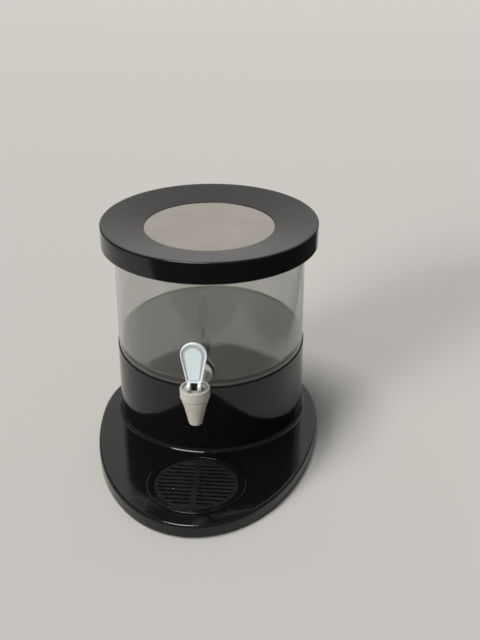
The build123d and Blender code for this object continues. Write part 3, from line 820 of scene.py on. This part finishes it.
def paddle_grid():
    """Rows of keyholes, each with an inset from the paddle's or the press's outline and a depth.

    With a from 0 to a right angle, the edge's rows have insets e (1 - sin a) and e (1 - cos a). The smooth
    step is s s (3 - 2 s), with s from 0 to 1.
    """
    quarter = np.linspace(0.0, np.pi / 2.0, EDGE_STEPS)
    sine_gap = EDGE_ROUNDING * (1.0 - np.sin(quarter))
    cosine_gap = EDGE_ROUNDING * (1.0 - np.cos(quarter))
    ease = np.linspace(0.0, 1.0, 6)
    step = ease ** 2 * (3.0 - 2.0 * ease)
    inset = np.concatenate([BACK_INSETS, sine_gap, cosine_gap, RIM + RIM_SLOPE * ease])
    depth = np.concatenate([[BACK, BACK], BACK - cosine_gap, FACE + sine_gap, FACE + (DISH - FACE) * step])
    press_inset = np.concatenate([PRESS_SLOPE * (ease - 0.5), PRESS_INSETS])
    press_depth = np.concatenate([DISH + (PRESS_FACE - DISH) * step,
                                  [PRESS_FACE, -4.53, PRESS_MIDDLE, PRESS_MIDDLE]])
    x, z = (np.vstack(rows) for rows in zip(keyholes(PADDLE, inset), keyholes(PRESS, press_inset)))
    y = np.concatenate([depth, press_depth])[:, None] + 0.0 * x
    return PIVOT + np.stack([x, y, z], axis=-1)


paddle = paddle_grid()
paddle_depth = paddle[..., 1] - PIVOT[1]
on_face = np.arange(len(paddle_depth))[:, None] >= FACE_ROW
# Mask of the painted shade: 1 on the dish's floor, 0 on the rim, the press and the back.
dish_shade_mask = np.clip((paddle_depth - DISH_SHADE_FROM) / DISH_SHADE_FADE, 0.0, 1.0) * on_face
print("paddle grid:", paddle_depth.shape, "of which in the dish:", int((dish_shade_mask > 0.5).sum()))

# %% [markdown]
# Cam legs
#
# Two legs under the paddle hold the pin. A leg is a flat plate with rounded edges. Its heel is a cam: its
# reach below the pin grows evenly with the tilt, so the stem rises in step with the lever. An arc drawn by
# eye would look much the same, but would leave the bonnet or cut into it as the lever tilts. The plate is its
# outline carried across, drawn in a little at both faces along the outline's own normal.

# %% Cam legs
FULL_TILT = math.radians(85.0)
STEM_RISE = 3.2
CAM_LOW = 6.0
CAM_RATE = STEM_RISE / FULL_TILT
CAM_STEPS = 15
HEEL_BACK = (3.5, -CAM_LOW, 1.0)
LEG_TOP = [(-5.0, 2.5, 0.5), (-1.8, 11.5, 0.5), (3.5, 3.0, 1.0)]
LEG_NEAR, LEG_FAR = 3.4, 6.55
LEG_EDGE = 0.4


def leg_outline():
    """Leg seen from the side, as (y, z) from the pin, with the cam h n + rate n' for its heel.

    Here n points down to the bonnet at a tilt, h is the cam's reach at that tilt, and n' is n's change.
    """
    tilt = np.linspace(0.0, FULL_TILT, CAM_STEPS)
    reach = CAM_LOW + CAM_RATE * tilt
    cam_y = -reach * np.sin(tilt) - CAM_RATE * np.cos(tilt)
    cam_z = -reach * np.cos(tilt) + CAM_RATE * np.sin(tilt)
    rounding = np.where(np.arange(CAM_STEPS) == CAM_STEPS - 1, 0.7, 0.0)
    return round_corners(np.vstack([HEEL_BACK, np.column_stack([cam_y, cam_z, rounding]), LEG_TOP]))


def leg_grid(near, far):
    """Outline carried from x = near to x = far, its edges rounded by a quarter circle."""
    outline = leg_outline()
    along = np.roll(outline, -1, 0) - np.roll(outline, 1, 0)
    inward = np.stack([along[:, 1], -along[:, 0]], axis=-1) / np.linalg.norm(along, axis=1, keepdims=True)
    quarter = np.linspace(0.0, np.pi / 2.0, 5)
    gap = LEG_EDGE * (1.0 - np.cos(quarter))
    x = np.concatenate([near + gap, far - gap[::-1]])
    inset = LEG_EDGE * (1.0 - np.sin(np.concatenate([quarter, quarter[::-1]])))
    side = outline[None] + inset[:, None, None] * inward[None]
    across = np.broadcast_to(x[:, None, None], side.shape[:2] + (1,))
    return PIVOT + np.concatenate([across, side], axis=-1)


lever_shells = [shell(grid, round_rows=False, capped=True)
                for grid in (paddle, leg_grid(LEG_NEAR, LEG_FAR), leg_grid(-LEG_FAR, -LEG_NEAR))]
add_piece("tap_lever_form", lever_shells, lever_white, "lever", "lever_white", "tap_lever",
          marks=[(DISH_MARK, dish_shade_mask)])

# %% [markdown]
# Floor
#
# The floor is a plain pale sheet. A real table ends somewhere, and past its edge a gloss face reflects a
# darker room. A small floor would show its own edge in other views. So the sheet is large, the camera sees it
# pale all over, and reflections see it dark past a table's edge.

# %% Floor
FLOOR_COLOUR = (0.56, 0.55, 0.53)
ROOM_COLOUR = (0.05, 0.05, 0.05)
TABLE_EDGES = (("Y", -0.30, -1.0), ("X", 0.28, 1.0), ("X", -0.60, -1.0))  # direction, place, outwards
EDGE_FADE = 0.04
FLOOR_HALF = 6.0


def both(tree, operation, first, second):
    """Two values joined by an operation. A missing first value gives the second."""
    if first is None:
        return second
    joined = tree.nodes.new("ShaderNodeMath")
    joined.operation = operation
    tree.links.new(first, joined.inputs[0])
    tree.links.new(second, joined.inputs[1])
    return joined.outputs["Value"]


def seen_plainly(tree):
    """1 where the camera sees a surface, straight or through the clear tank."""
    path = tree.nodes.new("ShaderNodeLightPath")
    return both(tree, "MAXIMUM", path.outputs["Is Camera Ray"], path.outputs["Is Transmission Ray"])


def make_floor():
    """Square sheet under the feet, pale to the camera, and dark past the table's edges to reflections."""
    corners = FLOOR_HALF * np.array([(-1, -1, 0), (1, -1, 0), (1, 1, 0), (-1, 1, 0)])
    mesh = bpy.data.meshes.new("floor")
    mesh.from_pydata(corners.tolist(), [], [(0, 1, 2, 3)])
    floor = bpy.data.objects.new("floor", mesh)
    scene.collection.objects.link(floor)
    material, tree, shader = new_finish("pale_floor", FLOOR_COLOUR, roughness=0.9, Specular_IOR_Level=0.1)
    place = tree.nodes.new("ShaderNodeTexCoord")
    split = tree.nodes.new("ShaderNodeSeparateXYZ")
    tree.links.new(place.outputs["Object"], split.inputs["Vector"])
    pale = None
    for direction, edge, outwards in TABLE_EDGES:
        fade = add_node(tree, "ShaderNodeMapRange", From_Min=edge + outwards * EDGE_FADE, From_Max=edge)
        tree.links.new(split.outputs[direction], fade.inputs["Value"])
        pale = both(tree, "MULTIPLY", pale, fade.outputs["Result"])
    tint(tree, shader, both(tree, "MAXIMUM", pale, seen_plainly(tree)), ROOM_COLOUR, FLOOR_COLOUR)
    mesh.materials.append(material)
    return floor


print("floor:", make_floor().name)

# %% [markdown]
# Lamps
#
# Two soft lamps light the part: one high above makes the short shadow on the right, and a low one from the
# front left lights the lever. Glossy faces don't mirror the low one and it doesn't show through the tank,
# because from behind it would glare white on the lid and the seat. A tall dim panel behind, a little warm,
# gives the lid its sheen. The first two could be area lamps too. As suns, they light near and far alike, so
# the floor stays even.

# %% Lamps
SUN_COLOUR = (1.0, 0.98, 0.94)
PANEL_COLOUR = (1.0, 0.945, 0.90)


def aim(lamp, place, target):
    """Lamp object at a place, turned towards a target."""
    obj = bpy.data.objects.new(lamp.name, lamp)
    obj.location = place
    x, y, z = np.array(target) - np.array(place)
    obj.rotation_euler = (math.atan2(math.hypot(x, y), -z), 0.0, math.atan2(y, x) - math.pi / 2.0)
    scene.collection.objects.link(obj)
    return obj


def soft_sun(name, energy, angle, place, mirrored=True):
    """Distant lamp with a wide disc, so that its shadows are soft. Not mirrored, it lights without a glare."""
    sun = bpy.data.lights.new(name, "SUN")
    sun.energy = energy
    sun.angle = math.radians(angle)
    sun.color = SUN_COLOUR
    obj = aim(sun, place, (0.0, 0.0, 0.0))
    obj.visible_glossy = mirrored
    obj.visible_transmission = mirrored
    return sun


def soft_panel(name, energy, size, place, target):
    """Rectangular lamp of a width and a height."""
    panel = bpy.data.lights.new(name, "AREA")
    panel.shape = "RECTANGLE"
    panel.size, panel.size_y = size
    panel.energy = energy
    panel.color = PANEL_COLOUR
    aim(panel, place, target)
    return panel


lamps = [
    soft_sun("top_sun", energy=1.75, angle=24.0, place=(-0.22, -0.05, 1.0)),
    soft_sun("front_sun", energy=2.45, angle=22.0, place=(-0.9, -1.0, 0.46), mirrored=False),
    soft_panel("panel", energy=56.0, size=(7.0, 5.0), place=(0.0, 4.2, 2.8), target=(0.0, 0.0, 0.3)),
]
print("lamps:", ", ".join(f"{lamp.name} {lamp.energy:.2f}" for lamp in lamps))

# %% [markdown]
# Sky and backdrop
#
# An even sky fills the shadows. Behind the floor, the camera sees a backdrop of the floor's pale tone, also
# through the clear tank. A real sheet could hang there, but it would shade the part from the panel. So the
# world shows two faces: the backdrop to the camera, and the dimmer sky to everything else.

# %% Sky and backdrop
SKY = (0.95, 0.97, 1.0)
SKY_STRENGTH = 0.18
BACKDROP = (0.62, 0.605, 0.575)


def make_world():
    """Even sky for the light, and the backdrop's tone where the camera sees it."""
    world = bpy.data.worlds.new("studio")
    world.use_nodes = True
    tree = world.node_tree
    sky = tree.nodes["Background"]
    sky.inputs["Color"].default_value = (*SKY, 1.0)
    sky.inputs["Strength"].default_value = SKY_STRENGTH
    backdrop = add_node(tree, "ShaderNodeBackground", Color=(*BACKDROP, 1.0))
    mix = tree.nodes.new("ShaderNodeMixShader")
    tree.links.new(seen_plainly(tree), mix.inputs["Fac"])
    tree.links.new(sky.outputs["Background"], mix.inputs[1])
    tree.links.new(backdrop.outputs["Background"], mix.inputs[2])
    tree.links.new(mix.outputs["Shader"], tree.nodes["World Output"].inputs["Surface"])
    return world


scene.world = make_world()
print("sky strength:", SKY_STRENGTH, "backdrop:", BACKDROP)
